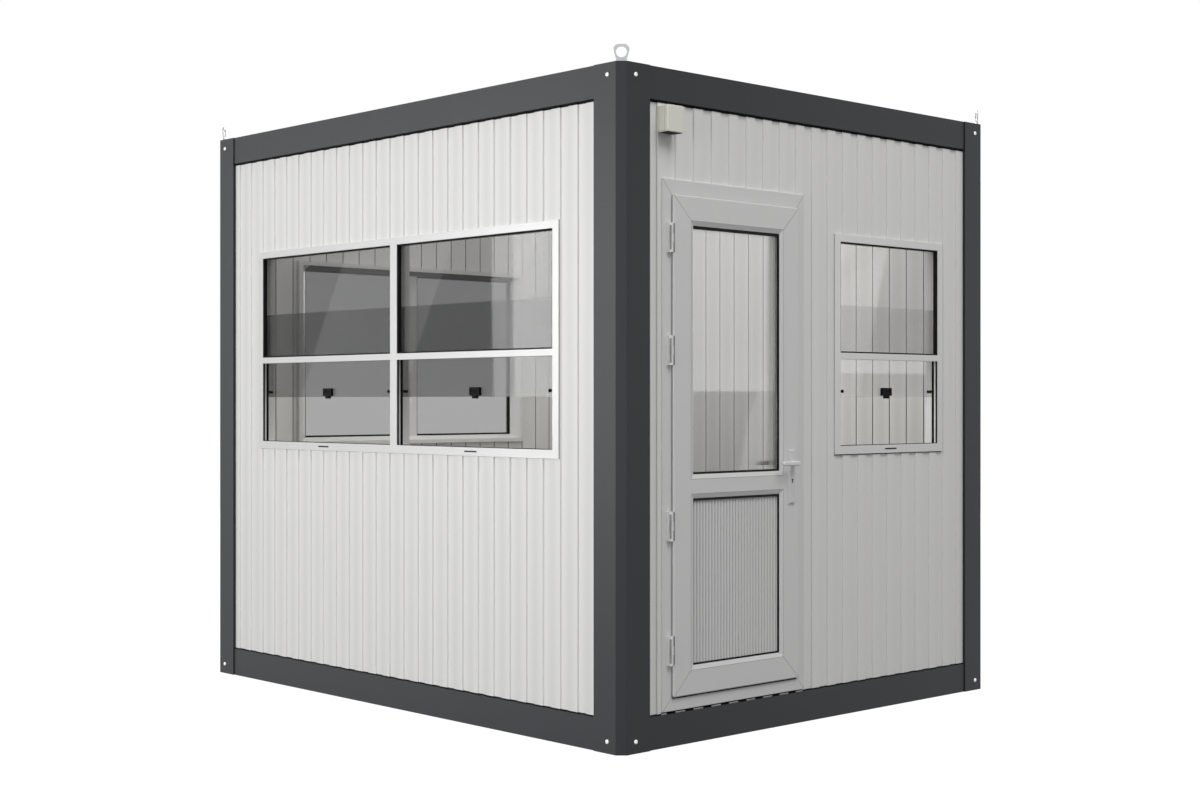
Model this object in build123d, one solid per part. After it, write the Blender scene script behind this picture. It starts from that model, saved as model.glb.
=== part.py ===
from build123d import *
import math
import os

os.makedirs("parts", exist_ok=True)

# Cabin envelope: width along the door wall, depth along the wide window wall
cabin_width = 2300.0
cabin_depth = 2840.0
cabin_height = 2575.0

# Folded steel frame: corner posts and the rails between them
post_face = 150.0
post_chamfer = 30.0
post_bend_radius = 4.0
rail_height = 125.0
rail_setback = 5.0

# Roof slab under a ribbed sheet, its ribs from side rail to side rail
roof_drop = 15.0
roof_rib_pitch = 250.0
roof_rib_height = 24.0
roof_rib_flank = 12.0
roof_rib_crest_share = 0.14

# Ribbed sandwich wall panels between the posts and rails, with fine grooves inside
panel_setback = 14.0
panel_thickness = 50.0
rib_pitch = 100.0
rib_depth = 6.0
rib_flank = 3.0
rib_crest_share = 0.5
groove_width = 6.0
groove_depth = 3.0
groove_place_share = 0.6
front_rib_start = 53.0
side_rib_start = 84.5
back_rib_start = 95.0
rib_merge_gap = 0.5

# Lifting eyes on the post tops
eye_height = 65.0
eye_top_width = 72.0
eye_neck_width = 36.0
eye_corner_radius = 20.0
eye_thickness = 5.0
eye_bore_radius = 20.5
eye_bore_height = 36.0
eye_inset = 26.0

# Window frames, one height for all three and one profile for the two with sliding panes
window_head_drop = 438.0
window_height = 922.0
window_jamb_face = 37.0
window_head_face = 31.0
window_sill_face = 35.0
window_mullion = 48.0
window_setback = 9.0
window_lip_depth = 21.0
window_rebate = 14.0
trim_proud = 25.0
transom_height = 27.0
lower_light_height = 364.0
pane_thickness = 6.0
pane_gap = 4.0
pane_clearance = 0.3
transom_cover = 5.0
sliding_pane_height = 386.0
sliding_pane_lift = 241.0

# Back window: two fixed lights in grooves, with a bevelled surround on the room side
fixed_jamb_face = 62.0
fixed_head_face = 40.0
fixed_mullion = 54.0
fixed_side_bevel = 38.0
fixed_head_bevel = 20.0
fixed_bead_depth = 12.0
fixed_glazing_bite = 12.0

# Panel widths left beside each window
left_pier = 208.0
back_pier = 265.0
middle_pier = 202.0
far_pier = 156.0

# Finger pulls of the sliding panes
pull_width = 65.0
pull_height = 34.0
pull_tab_width = 28.0
pull_tab_height = 12.0
pull_depth = 12.0
pull_drop = 7.0
pull_scoop_radius = 8.0
pull_scoop_depth = 3.0
pull_corner_radius = 3.0

# Door frame in the front wall
hinge_pier = 72.0
door_sill_gap = 10.0
door_head_drop = 293.0
door_width = 820.0
door_setback = 6.0
door_trim_proud = 5.0
door_jamb_face = 60.0
door_head_face = 70.0
door_sill_face = 65.0
stop_width = 12.0
stop_depth = 9.0

# Door leaf: outward opening sash with an overlapping flange
leaf_overlap = 12.0
leaf_seal_gap = 5.0
leaf_flange = 8.0
leaf_corner_radius = 8.0
leaf_edge_radius = 5.0
leaf_body_depth = 54.0
leaf_gap = 9.0
stile_width = 95.0
bead_width = 17.0
bead_depth = 7.0
mid_rail_height = 92.0
glass_rise = 844.0
glazing_setback = 17.0
glazing_thickness = 24.0
glazing_bite = 12.0
flute_pitch = 17.0
flute_depth = 5.0
flute_land_share = 0.6

# Hinges: frame half with the pin, leaf half with the middle knuckle
hinge_rise = 178.0
hinge_drop = 165.0
hinge_low_spacing = 472.0
hinge_high_spacing = 428.0
hinge_length = 112.0
hinge_barrel_radius = 8.0
hinge_pin_radius = 4.0
hinge_running_clearance = 0.1
hinge_knuckle_gap = 0.5
hinge_axis_margin = 13.0
hinge_axis_standoff = 13.0
hinge_flag_width = 10.5
hinge_flag_thickness = 5.0
hinge_knuckle_shares = (0.34, 0.66)

# Lever handle on long plates, inside and outside
handle_rise = 874.0
handle_margin = 48.0
plate_width = 36.0
plate_height = 214.0
plate_above = 52.0
plate_thickness = 8.0
plate_edge_radius = 3.0
spindle_radius = 5.0
spindle_clearance = 0.6
lever_length = 88.0
lever_height = 18.0
lever_thickness = 12.0
lever_standoff = 26.0
lever_hub_radius = 10.0
lever_plate_gap = 0.8
lever_edge_chamfer = 3.5

# Junction box high on the door wall
box_margin = 53.0
box_width = 86.0
box_height = 102.0
box_head_drop = 20.0
box_proud = 41.0
box_edge_radius = 6.0
box_lid_depth = 16.0
box_lid_chamfer = 2.5
box_seam = 2.0

# One overrun for every through cut
overrun = 10.0

# Planes and places that several pieces share
wall_line = panel_setback + panel_thickness
panel_base = rail_height
panel_top = cabin_height - rail_height
window_back = wall_line + trim_proud
door_back = wall_line + door_trim_proud
pane_seat = window_setback + window_lip_depth
slide_seat = pane_seat + pane_thickness + pane_gap
window_head = panel_top - window_head_drop
window_sill = window_head - window_height
transom_sill = window_sill + window_sill_face + lower_light_height
sliding_pane_sill = window_sill + sliding_pane_lift
door_start = post_face + hinge_pier
door_end = door_start + door_width
door_sill = panel_base + door_sill_gap
door_head = panel_top - door_head_drop
clear_start = door_start + door_jamb_face
clear_end = door_end - door_jamb_face
clear_sill = door_sill + door_sill_face
clear_head = door_head - door_head_face
leaf_back_of_flange = door_setback - leaf_seal_gap
leaf_face = leaf_back_of_flange - leaf_flange
leaf_back = leaf_back_of_flange + leaf_body_depth
leaf_start = clear_start - leaf_overlap
leaf_end = clear_end + leaf_overlap
leaf_sill = clear_sill - leaf_overlap
leaf_head = clear_head + leaf_overlap
border = stile_width + bead_width
glass_sill = leaf_sill + glass_rise
glass_head = leaf_head - border
infill_sill = leaf_sill + border
infill_head = glass_sill - mid_rail_height
glazing_face = leaf_face + glazing_setback
hinge_x = leaf_start - hinge_axis_margin
hinge_y = door_setback - hinge_axis_standoff
hinge_heights = (
    leaf_sill + hinge_rise,
    leaf_sill + hinge_rise + hinge_low_spacing,
    leaf_head - hinge_drop - hinge_high_spacing,
    leaf_head - hinge_drop,
)
handle_x = leaf_end - handle_margin
handle_height = leaf_sill + handle_rise
box_start = post_face + box_margin
box_sill = panel_top - box_head_drop - box_height

# Each wall is drawn as the front wall is, from its left post as seen from outside, then turned into place
front_place = Location((-cabin_width / 2, -cabin_depth / 2, 0), (0, 0, 0))
right_place = Location((cabin_width / 2, -cabin_depth / 2, 0), (0, 0, 90))
back_place = Location((cabin_width / 2, cabin_depth / 2, 0), (0, 0, 180))
left_place = Location((-cabin_width / 2, cabin_depth / 2, 0), (0, 0, -90))


def block(x0, x1, y0, y1, z0, z1):
    body = Box(x1 - x0, y1 - y0, z1 - z0, align=(Align.MIN, Align.MIN, Align.MIN))
    return body.moved(Location((x0, y0, z0)))


def upright(x, y, z0, z1, radius):
    return Cylinder(radius, z1 - z0, align=(Align.CENTER, Align.CENTER, Align.MIN)).moved(Location((x, y, z0)))


def through(x, z, y0, y1, radius):
    rod = Cylinder(radius, y1 - y0, align=(Align.CENTER, Align.CENTER, Align.MIN))
    return rod.moved(Location((x, y0, z), (-90, 0, 0)))


def keep(name, *shapes):
    solids = []
    for shape in shapes:
        solids.extend(shape.solids())
    export_step(Compound(solids), os.path.join("parts", name + ".step"))


# Share of full relief at one place along a wall: 1 on a crest, 0 in a valley, sloping on the flanks
def relief_share(place, start, pitch, crest, flank):
    turn = (place - start) % pitch
    if turn <= crest:
        return 1.0
    if turn < crest + flank:
        return (crest + flank - turn) / flank
    if turn > pitch - flank:
        return (turn - pitch + flank) / flank
    return 0.0


# Places where the ribbed outline bends, between two ends
def bends(first, last, start, pitch, crest, flank, merge):
    places = [first]
    turn = math.floor((first - start) / pitch)
    while start + turn * pitch - flank < last:
        crest_start = start + turn * pitch
        for place in (crest_start - flank, crest_start, crest_start + crest, crest_start + crest + flank):
            if places[-1] + merge < place < last - merge:
                places.append(place)
        turn += 1
    places.append(last)
    return places


# Length of sandwich panel with ribs rolled in its outer skin and a narrow groove per rib in the inner one
def ribbed_panel(first, last, base, top, rib_start):
    start = post_face + rib_start
    crest = rib_pitch * rib_crest_share
    outer = []
    for stop in bends(first, last, start, rib_pitch, crest, rib_flank, rib_merge_gap):
        rise = relief_share(stop, start, rib_pitch, crest, rib_flank)
        outer.append((stop, panel_setback + rib_depth * (1 - rise)))
    inner = [(first, wall_line)]
    groove = start + rib_pitch * (math.floor((first - start) / rib_pitch) + groove_place_share)
    while groove < last:
        if first + rib_flank < groove - groove_width / 2 and groove + groove_width / 2 < last - rib_flank:
            inner.append((groove - groove_width / 2, wall_line))
            inner.append((groove, wall_line - groove_depth))
            inner.append((groove + groove_width / 2, wall_line))
        groove += rib_pitch
    inner.append((last, wall_line))
    outline = make_face(Polyline(*outer, *reversed(inner), close=True))
    return extrude(outline, amount=top - base).moved(Location((0, 0, base)))


# Folded corner post, L-shaped in plan with a chamfered outer corner
def corner_post():
    outline = make_face(
        Polyline(
            (post_chamfer, 0),
            (post_face, 0),
            (post_face, wall_line),
            (wall_line, wall_line),
            (wall_line, post_face),
            (0, post_face),
            (0, post_chamfer),
            close=True,
        )
    )
    corners = outline.vertices().filter_by(lambda v: min(v.X, v.Y) == 0 and max(v.X, v.Y) == post_chamfer)
    return extrude(fillet(corners, post_bend_radius), amount=cabin_height)


# Lifting eye: upright plate across the corner's diagonal, standing on the post top
def lifting_eye():
    outline = make_face(
        Polyline(
            (-eye_neck_width / 2, 0),
            (eye_neck_width / 2, 0),
            (eye_top_width / 2, eye_height),
            (-eye_top_width / 2, eye_height),
            close=True,
        )
    )
    outline = fillet(outline.vertices().filter_by(lambda v: v.Y == eye_height), eye_corner_radius)
    outline = outline - Pos(0, eye_bore_height) * Circle(eye_bore_radius)
    plate = extrude(Plane.XZ * outline, amount=eye_thickness / 2, both=True)
    return plate.moved(Location((eye_inset, eye_inset, cabin_height), (0, 0, -45)))


# Roof slab whose upper sheet has trapezoid ribs
def ribbed_roof(half_width, half_depth):
    crest = roof_rib_pitch * roof_rib_crest_share
    start = -crest / 2
    top = cabin_height - roof_drop
    outline = [(-half_depth, panel_top)]
    for stop in bends(-half_depth, half_depth, start, roof_rib_pitch, crest, roof_rib_flank, rib_merge_gap):
        rise = relief_share(stop, start, roof_rib_pitch, crest, roof_rib_flank)
        outline.append((stop, top - roof_rib_height * (1 - rise)))
    outline.append((half_depth, panel_top))
    return extrude(Plane.YZ * make_face(Polyline(*outline, close=True)), amount=half_width, both=True)


def rail(length, base):
    return block(post_face, length - post_face, rail_setback, wall_line, base, base + rail_height)


# White window frame with a rebate behind its outer lip, a transom in each light and mullions between them
def window_frame(start, width, lights):
    light = light_width(width, lights)
    frame = block(start, start + width, window_setback, window_back, window_sill, window_head)
    lip_sill = window_sill + window_sill_face
    lip_head = window_head - window_head_face
    for index in range(lights):
        x0 = start + window_jamb_face + index * (light + window_mullion)
        x1 = x0 + light
        y0 = window_setback - overrun
        frame -= block(x0, x1, y0, pane_seat, lip_sill, transom_sill)
        frame -= block(x0, x1, y0, pane_seat, transom_sill + transom_height, lip_head)
        frame -= block(
            x0 - window_rebate,
            x1 + window_rebate,
            pane_seat,
            window_back + overrun,
            lip_sill - window_rebate,
            lip_head + window_rebate,
        )
    return frame


def light_width(width, lights):
    return (width - 2 * window_jamb_face - (lights - 1) * window_mullion) / lights


# Panes of one window: fixed panes rest behind the lip above the transom, sliding panes run behind them
def window_panes(start, width, lights):
    light = light_width(width, lights)
    fixed = []
    sliding = []
    pulls = []
    edge = window_rebate - pane_clearance
    for index in range(lights):
        x0 = start + window_jamb_face + index * (light + window_mullion)
        x1 = x0 + light
        head = window_head - window_head_face + edge
        seat_end = pane_seat + pane_thickness
        slide_end = slide_seat + pane_thickness
        fixed.append(block(x0 - edge, x1 + edge, pane_seat, seat_end, transom_sill + transom_cover, head))
        slide_head = sliding_pane_sill + sliding_pane_height
        sliding.append(block(x0 - edge, x1 + edge, slide_seat, slide_end, sliding_pane_sill, slide_head))
        pulls.append(finger_pull((x0 + x1) / 2, sliding_pane_sill))
    return fixed, sliding, pulls


# Moulded finger pull on the outer face of a sliding pane: a scooped plate with a narrower tab below it
def finger_pull(middle, sill):
    base = sill - pull_drop
    shoulder = base + pull_tab_height
    top = shoulder + pull_height
    tab = pull_tab_width / 2
    plate = pull_width / 2
    side = [(tab, base), (tab, shoulder), (plate, shoulder), (plate, top)]
    outline = make_face(Polyline(*side, *[(-x, z) for x, z in reversed(side)], close=True))
    outline = fillet(outline.vertices().filter_by(lambda v: abs(v.X) > tab), pull_corner_radius)
    grip = extrude(Plane.XZ * outline, amount=pull_depth).moved(Location((middle, slide_seat, 0)))
    scoop = Cylinder(pull_scoop_radius, pull_width - 2 * pull_scoop_radius, rotation=(0, 90, 0))
    scoop_y = slide_seat - pull_depth + pull_scoop_depth - pull_scoop_radius
    return grip - scoop.moved(Location((middle, scoop_y, shoulder + pull_height / 2)))


# Places where the two lights of the fixed window start and end
def fixed_lights(start, width):
    light = (width - 2 * fixed_jamb_face - fixed_mullion) / 2
    first = start + fixed_jamb_face
    second = first + light + fixed_mullion
    return ((first, first + light), (second, second + light))


# Fixed window frame: grooves that hold the panes, a mullion set back from the room, and a bevelled surround
def fixed_window_frame(start, width):
    sill = window_sill + fixed_head_face
    head = window_head - fixed_head_face
    bead_back = pane_seat + pane_thickness + fixed_bead_depth
    frame = block(start, start + width, window_setback, window_back, window_sill, window_head)
    for x0, x1 in fixed_lights(start, width):
        frame -= block(x0, x1, window_setback - overrun, bead_back + overrun, sill, head)
        frame -= block(
            x0 - fixed_glazing_bite,
            x1 + fixed_glazing_bite,
            pane_seat,
            pane_seat + pane_thickness,
            sill - fixed_glazing_bite,
            head + fixed_glazing_bite,
        )
    opening = width - 2 * fixed_jamb_face
    height = head - sill
    throat = Rectangle(opening, height)
    mouth = Rectangle(opening + 2 * fixed_side_bevel, height + 2 * fixed_head_bevel)
    mouth = Pos(0, 0, window_back - bead_back) * mouth
    middle = Location((start + width / 2, bead_back, (sill + head) / 2), (-90, 0, 0))
    return frame - loft([throat, mouth]).moved(middle)


def fixed_window_panes(start, width):
    bite = fixed_glazing_bite - pane_clearance
    sill = window_sill + fixed_head_face
    head = window_head - fixed_head_face
    return [
        block(x0 - bite, x1 + bite, pane_seat, pane_seat + pane_thickness, sill - bite, head + bite)
        for x0, x1 in fixed_lights(start, width)
    ]


# Door frame: jambs, head and sill with an inner stop that the leaf closes towards
def door_frame():
    frame = block(door_start, door_end, door_setback, door_back, door_sill, door_head)
    frame -= block(
        clear_start, clear_end, door_setback - overrun, door_back - stop_depth, clear_sill, clear_head
    )
    return frame - block(
        clear_start + stop_width,
        clear_end - stop_width,
        door_back - stop_depth - overrun,
        door_back + overrun,
        clear_sill + stop_width,
        clear_head - stop_width,
    )


# Opening in the leaf: bevelled bead on the outside, then a groove that holds the infill
def leaf_opening(sill, head):
    x0 = leaf_start + border
    x1 = leaf_end - border
    width = x1 - x0
    height = head - sill
    middle = Location(((x0 + x1) / 2, leaf_face, (sill + head) / 2), (-90, 0, 0))
    mouth = Rectangle(width + 2 * bead_width, height + 2 * bead_width)
    throat = Pos(0, 0, bead_depth) * Rectangle(width, height)
    bevel = loft([mouth, throat])
    hole = block(x0, x1, leaf_face - overrun, leaf_back + overrun, sill, head)
    groove = block(
        x0 - glazing_bite,
        x1 + glazing_bite,
        glazing_face,
        glazing_face + glazing_thickness,
        sill - glazing_bite,
        head + glazing_bite,
    )
    return [bevel.moved(middle), hole, groove]


# Sash of the leaf: rounded flange over the frame outside, body inside it, two openings and the spindle bore
def door_sash():
    sash = block(leaf_start, leaf_end, leaf_face, leaf_back_of_flange, leaf_sill, leaf_head)
    sash = fillet(sash.edges().filter_by(Axis.Y), leaf_corner_radius)
    sash = fillet(sash.faces().sort_by(Axis.Y)[0].edges(), leaf_edge_radius)
    sash += block(
        clear_start + leaf_gap,
        clear_end - leaf_gap,
        leaf_back_of_flange,
        leaf_back,
        clear_sill + leaf_gap,
        clear_head - leaf_gap,
    )
    for cut in leaf_opening(glass_sill, glass_head) + leaf_opening(infill_sill, infill_head):
        sash -= cut
    bore = spindle_radius + spindle_clearance
    return sash - through(handle_x, handle_height, leaf_face - overrun, leaf_back + overrun, bore)


def leaf_infill(sill, head):
    bite = glazing_bite - pane_clearance
    return block(
        leaf_start + border - bite,
        leaf_end - border + bite,
        glazing_face,
        glazing_face + glazing_thickness,
        sill - bite,
        head + bite,
    )


# Fluted infill of tongued boards below the mid rail, flutes on both faces between plain margins
def fluted_infill():
    x0 = leaf_start + border
    x1 = leaf_end - border
    bite = glazing_bite - pane_clearance
    land = flute_pitch * flute_land_share
    flank = (flute_pitch - land) / 2
    stops = bends(x0, x1, x0, flute_pitch, land, flank, rib_merge_gap)
    face = [(x0 - bite, glazing_face), (x0, glazing_face)]
    back = [(x0 - bite, glazing_face + glazing_thickness), (x0, glazing_face + glazing_thickness)]
    for stop in stops[1:-1]:
        dip = flute_depth * (1 - relief_share(stop, x0, flute_pitch, land, flank))
        face.append((stop, glazing_face + dip))
        back.append((stop, glazing_face + glazing_thickness - dip))
    face.extend([(x1, glazing_face), (x1 + bite, glazing_face)])
    back.extend([(x1, glazing_face + glazing_thickness), (x1 + bite, glazing_face + glazing_thickness)])
    outline = make_face(Polyline(*face, *reversed(back), close=True))
    boards = extrude(outline, amount=infill_head - infill_sill + 2 * bite)
    return boards.moved(Location((0, 0, infill_sill - bite)))


# Frame half of one hinge: flag on the jamb's face, end knuckles and the pin through the middle
def hinge_frame_half(height):
    base = height - hinge_length / 2
    top = height + hinge_length / 2
    low = base + hinge_length * hinge_knuckle_shares[0]
    high = base + hinge_length * hinge_knuckle_shares[1]
    half = block(
        hinge_x - hinge_flag_width,
        hinge_x - hinge_barrel_radius,
        door_setback - hinge_flag_thickness,
        door_setback,
        base,
        top,
    )
    for z0, z1 in ((base, low), (high, top)):
        half += upright(hinge_x, hinge_y, z0, z1, hinge_barrel_radius)
        half += block(hinge_x - hinge_flag_width, hinge_x, hinge_y, door_setback, z0, z1)
    return half + upright(hinge_x, hinge_y, low, high, hinge_pin_radius)


# Leaf half of one hinge: middle knuckle with a lug onto the flange's edge
def hinge_leaf_half(height):
    base = height - hinge_length / 2
    low = base + hinge_length * hinge_knuckle_shares[0] + hinge_knuckle_gap
    high = base + hinge_length * hinge_knuckle_shares[1] - hinge_knuckle_gap
    half = upright(hinge_x, hinge_y, low, high, hinge_barrel_radius)
    half += block(hinge_x, leaf_start, leaf_face, leaf_back_of_flange, low, high)
    bore = hinge_pin_radius + hinge_running_clearance
    return half - upright(hinge_x, hinge_y, low - overrun, high + overrun, bore)


# Long handle plate on one face of the leaf
def handle_plate(y0, y1, outer_y):
    base = handle_height + plate_above - plate_height
    plate = block(
        handle_x - plate_width / 2, handle_x + plate_width / 2, y0, y1, base, base + plate_height
    )
    outer = plate.faces().sort_by(Axis.Y)[outer_y]
    plate = fillet(outer.edges(), plate_edge_radius)
    bore = spindle_radius + spindle_clearance
    return plate - through(handle_x, handle_height, y0 - overrun, y1 + overrun, bore)


# One lever grip, rounded at both ends, between two depths
def lever_grip(y0, y1):
    outline = SlotCenterToCenter(lever_length, lever_height)
    grip = extrude(outline, amount=y1 - y0)
    ends = grip.faces().sort_by(Axis.Z)
    grip = chamfer(ends[0].edges() + ends[-1].edges(), lever_edge_chamfer)
    return grip.moved(Location((handle_x - lever_length / 2, y0, handle_height), (-90, 0, 0)))


# Lever handle: outside and inside grips on one spindle
def lever_handle():
    outer_plate = leaf_face - plate_thickness - lever_plate_gap
    inner_plate = leaf_back + plate_thickness + lever_plate_gap
    outer_grip = outer_plate - lever_standoff
    inner_grip = inner_plate + lever_standoff
    lever = through(handle_x, handle_height, outer_grip, inner_grip, spindle_radius)
    lever += through(handle_x, handle_height, outer_grip, outer_plate, lever_hub_radius)
    lever += through(handle_x, handle_height, inner_plate, inner_grip, lever_hub_radius)
    lever += lever_grip(outer_grip - lever_thickness, outer_grip)
    lever += lever_grip(inner_grip, inner_grip + lever_thickness)
    return lever


# Junction box: rounded moulded case with the seam of its lid
def junction_box():
    case = block(
        box_start, box_start + box_width, -box_proud, panel_setback, box_sill, box_sill + box_height
    )
    case = fillet(case.edges().filter_by(Axis.Y), box_edge_radius)
    lid = case.faces().sort_by(Axis.Y)[0]
    case = chamfer(lid.edges(), box_lid_chamfer)
    seam_y = -box_proud + box_lid_depth
    ring = block(
        box_start - overrun,
        box_start + box_width + overrun,
        seam_y,
        seam_y + box_seam,
        box_sill - overrun,
        box_sill + box_height + overrun,
    )
    core = block(
        box_start + box_seam,
        box_start + box_width - box_seam,
        seam_y,
        seam_y + box_seam,
        box_sill + box_seam,
        box_sill + box_height - box_seam,
    )
    return case - (ring - core)


# Frame, floor and roof
places = (front_place, right_place, back_place, left_place)
lengths = (cabin_width, cabin_depth, cabin_width, cabin_depth)
keep("corner_posts", *[corner_post().moved(place) for place in places])
keep("lifting_eyes", *[lifting_eye().moved(place) for place in places])
keep("bottom_rails", *[rail(length, 0).moved(place) for place, length in zip(places, lengths)])
keep("top_rails", *[rail(length, panel_top).moved(place) for place, length in zip(places, lengths)])
room_x = cabin_width / 2 - wall_line
room_y = cabin_depth / 2 - wall_line
keep("floor", block(-room_x, room_x, -room_y, room_y, 0, rail_height))
keep("roof", ribbed_roof(room_x, room_y))

# Front wall around the door and the single window
front_end = cabin_width - post_face
front_window_start = door_end + middle_pier
window_end = front_end - far_pier
front_window_width = window_end - front_window_start
front_panels = {
    "front_panel_hinge_side": (post_face, door_start, panel_base, panel_top),
    "front_panel_over_door": (door_start, door_end, door_head, panel_top),
    "front_panel_under_door": (door_start, door_end, panel_base, door_sill),
    "front_panel_middle": (door_end, front_window_start, panel_base, panel_top),
    "front_panel_over_window": (front_window_start, window_end, window_head, panel_top),
    "front_panel_under_window": (front_window_start, window_end, panel_base, window_sill),
    "front_panel_far": (window_end, front_end, panel_base, panel_top),
}
for name, spans in front_panels.items():
    keep(name, ribbed_panel(*spans, front_rib_start).moved(front_place))

# Left, back and right walls; the windows in the first two leave equal panels beside them
side_end = cabin_depth - post_face
left_start = post_face + left_pier
left_end = side_end - left_pier
left_window_width = left_end - left_start
back_start = post_face + back_pier
back_end = front_end - back_pier
back_window_width = back_end - back_start
left_panels = {
    "left_panel_far": (post_face, left_start, panel_base, panel_top),
    "left_panel_over": (left_start, left_end, window_head, panel_top),
    "left_panel_under": (left_start, left_end, panel_base, window_sill),
    "left_panel_near": (left_end, side_end, panel_base, panel_top),
}
back_panels = {
    "back_panel_far": (post_face, back_start, panel_base, panel_top),
    "back_panel_over": (back_start, back_end, window_head, panel_top),
    "back_panel_under": (back_start, back_end, panel_base, window_sill),
    "back_panel_near": (back_end, front_end, panel_base, panel_top),
}
for name, spans in left_panels.items():
    keep(name, ribbed_panel(*spans, side_rib_start).moved(left_place))
for name, spans in back_panels.items():
    keep(name, ribbed_panel(*spans, back_rib_start).moved(back_place))
keep("right_panel", ribbed_panel(post_face, side_end, panel_base, panel_top, side_rib_start).moved(right_place))

# Windows: the left and front ones stand with their sliding panes raised, the back one is fixed
left_fixed, left_sliding, left_pulls = window_panes(left_start, left_window_width, 2)
front_fixed, front_sliding, front_pulls = window_panes(front_window_start, front_window_width, 1)
keep("left_window_frame", window_frame(left_start, left_window_width, 2).moved(left_place))
keep("left_window_fixed_panes", *[pane.moved(left_place) for pane in left_fixed])
keep("left_window_sliding_panes", *[pane.moved(left_place) for pane in left_sliding])
keep("front_window_frame", window_frame(front_window_start, front_window_width, 1).moved(front_place))
keep("front_window_fixed_pane", *[pane.moved(front_place) for pane in front_fixed])
keep("front_window_sliding_pane", *[pane.moved(front_place) for pane in front_sliding])
keep("back_window_frame", fixed_window_frame(back_start, back_window_width).moved(back_place))
back_fixed = fixed_window_panes(back_start, back_window_width)
keep("back_window_fixed_panes", *[pane.moved(back_place) for pane in back_fixed])
keep(
    "window_pulls",
    *[pull.moved(left_place) for pull in left_pulls],
    *[pull.moved(front_place) for pull in front_pulls],
)

# Door, its hinges and its handle
keep("door_frame", door_frame().moved(front_place))
keep("door_sash", door_sash().moved(front_place))
keep("door_glass", leaf_infill(glass_sill, glass_head).moved(front_place))
keep("door_fluted_panel", fluted_infill().moved(front_place))
keep("hinge_frame_halves", *[hinge_frame_half(height).moved(front_place) for height in hinge_heights])
keep("hinge_leaf_halves", *[hinge_leaf_half(height).moved(front_place) for height in hinge_heights])
keep(
    "handle_plates",
    handle_plate(leaf_face - plate_thickness, leaf_face, 0).moved(front_place),
    handle_plate(leaf_back, leaf_back + plate_thickness, -1).moved(front_place),
)
keep("lever_handle", lever_handle().moved(front_place))
keep("junction_box", junction_box().moved(front_place))
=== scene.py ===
"""Looks of a prefabricated guard cabin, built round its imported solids, in metres and in their frame."""
import math

import bmesh
import bpy
from mathutils import Matrix, Vector


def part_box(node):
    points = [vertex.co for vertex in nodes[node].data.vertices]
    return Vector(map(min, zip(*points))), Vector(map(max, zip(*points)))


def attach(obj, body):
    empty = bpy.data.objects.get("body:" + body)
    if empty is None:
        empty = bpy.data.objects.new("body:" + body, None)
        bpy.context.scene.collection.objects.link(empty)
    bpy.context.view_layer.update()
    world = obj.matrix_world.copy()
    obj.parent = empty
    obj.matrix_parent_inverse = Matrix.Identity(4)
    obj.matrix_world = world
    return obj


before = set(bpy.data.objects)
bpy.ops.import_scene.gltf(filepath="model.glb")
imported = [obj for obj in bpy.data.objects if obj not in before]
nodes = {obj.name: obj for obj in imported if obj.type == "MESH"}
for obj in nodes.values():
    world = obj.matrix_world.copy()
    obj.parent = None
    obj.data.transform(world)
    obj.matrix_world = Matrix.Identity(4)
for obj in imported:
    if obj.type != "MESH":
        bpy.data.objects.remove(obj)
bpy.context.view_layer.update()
scene = bpy.context.scene
scene.view_settings.view_transform = "Standard"


# Camera
# Stands at eye height off the near corner, level, so that every upright edge of the cabin stays
# upright in the picture and both the door wall and the wide window wall show.
eye_place = (-5.707, -6.182, 1.3176)
eye_turn = math.radians(-43.06)
film_width = 36
eye_lens = 53.53
camera = bpy.data.objects.new("eye_level_camera", bpy.data.cameras.new("eye_level_camera"))
scene.collection.objects.link(camera)
camera.location = eye_place
camera.rotation_euler = (math.radians(90), 0, eye_turn)
camera.data.sensor_width = film_width
camera.data.lens = eye_lens
scene.camera = camera


# Studio floor and light
# A pale seamless floor under an even white surround, a wide soft lamp off each near wall and one off
# the far corner, cards that only the panes and the paint mirror, and two soft lamps under the ceiling.
surround_light = 0.42
floor_radius = 60.0
floor_level = -0.002
floor_pale = (0.82, 0.82, 0.82, 1)
floor_grey = (0.10, 0.10, 0.10, 1)
floor_shade_share = 0.30
floor_glow = 0.90
floor_sides = 96


def looks_straight(tree):
    """1 for rays from the eye, also by way of gloss or glass, and 0 for rays that only light things."""
    path = tree.nodes.new("ShaderNodeLightPath")
    total = None
    for ray in ("Is Camera Ray", "Is Glossy Ray", "Is Transmission Ray"):
        if total is None:
            total = path.outputs[ray]
            continue
        plus = tree.nodes.new("ShaderNodeMath")
        plus.operation = "ADD"
        plus.use_clamp = True
        tree.links.new(total, plus.inputs[0])
        tree.links.new(path.outputs[ray], plus.inputs[1])
        total = plus.outputs[0]
    return total


surround = bpy.data.worlds.new("studio_surround")
surround.use_nodes = True
scene.world = surround
tree = surround.node_tree
lighting = tree.nodes["Background"]
lighting.inputs["Color"].default_value = (1, 1, 1, 1)
lighting.inputs["Strength"].default_value = surround_light
backdrop = tree.nodes.new("ShaderNodeBackground")
backdrop.inputs["Color"].default_value = (1, 1, 1, 1)
backdrop.inputs["Strength"].default_value = 1.0
choice = tree.nodes.new("ShaderNodeMixShader")
tree.links.new(looks_straight(tree), choice.inputs["Fac"])
tree.links.new(lighting.outputs[0], choice.inputs[1])
tree.links.new(backdrop.outputs[0], choice.inputs[2])
tree.links.new(choice.outputs[0], tree.nodes["World Output"].inputs["Surface"])

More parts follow.
